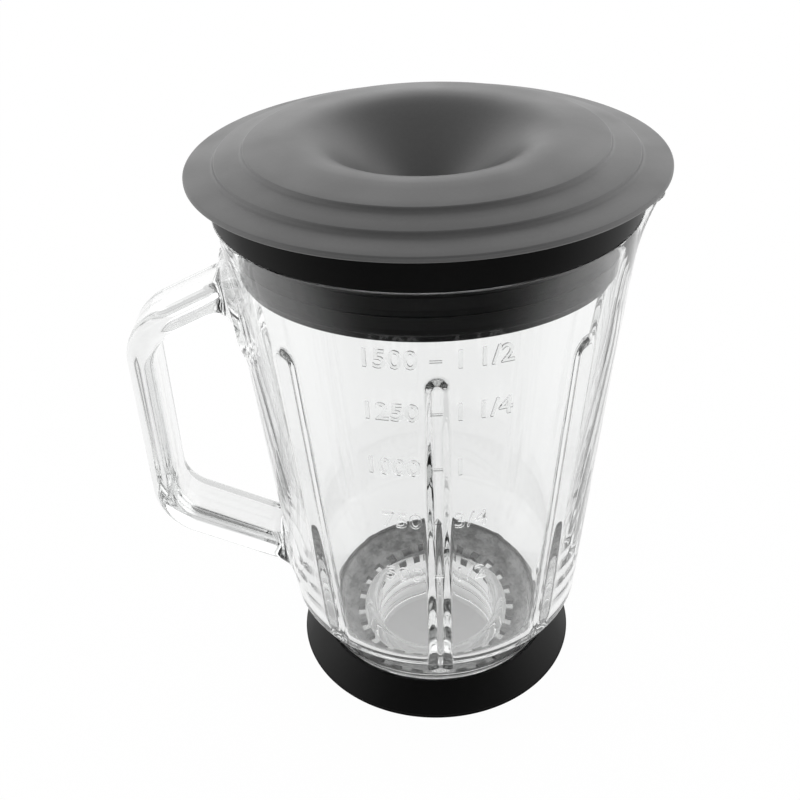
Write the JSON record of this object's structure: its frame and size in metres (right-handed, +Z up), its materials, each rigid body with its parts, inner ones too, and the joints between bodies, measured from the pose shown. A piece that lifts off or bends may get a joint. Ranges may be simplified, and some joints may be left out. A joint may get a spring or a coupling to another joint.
{
  "type": "blender jar",
  "caption": "Tapered clear glass blender jar with a side handle, a pouring lip and inner ribs, a black lid with a dipped centre and a black base collar.",
  "frame": {"origin": "on the jar's axis, at the end of the neck that the jar stands on", "axes": "+Z up along the jar's axis, -X towards the handle, +X towards the pouring lip, -Y towards the volume scale"},
  "size_m": [0.18, 0.1512, 0.2236],
  "materials": {
    "clear_glass": "clear, smooth",
    "black_plastic": "satin",
    "black_rubber": "matt"
  },
  "bodies": {
    "root": {"glass_jar": "clear_glass", "lid": "black_plastic", "lid_seal": "black_rubber", "base_collar": "black_plastic"}
  },
  "joints": []
}
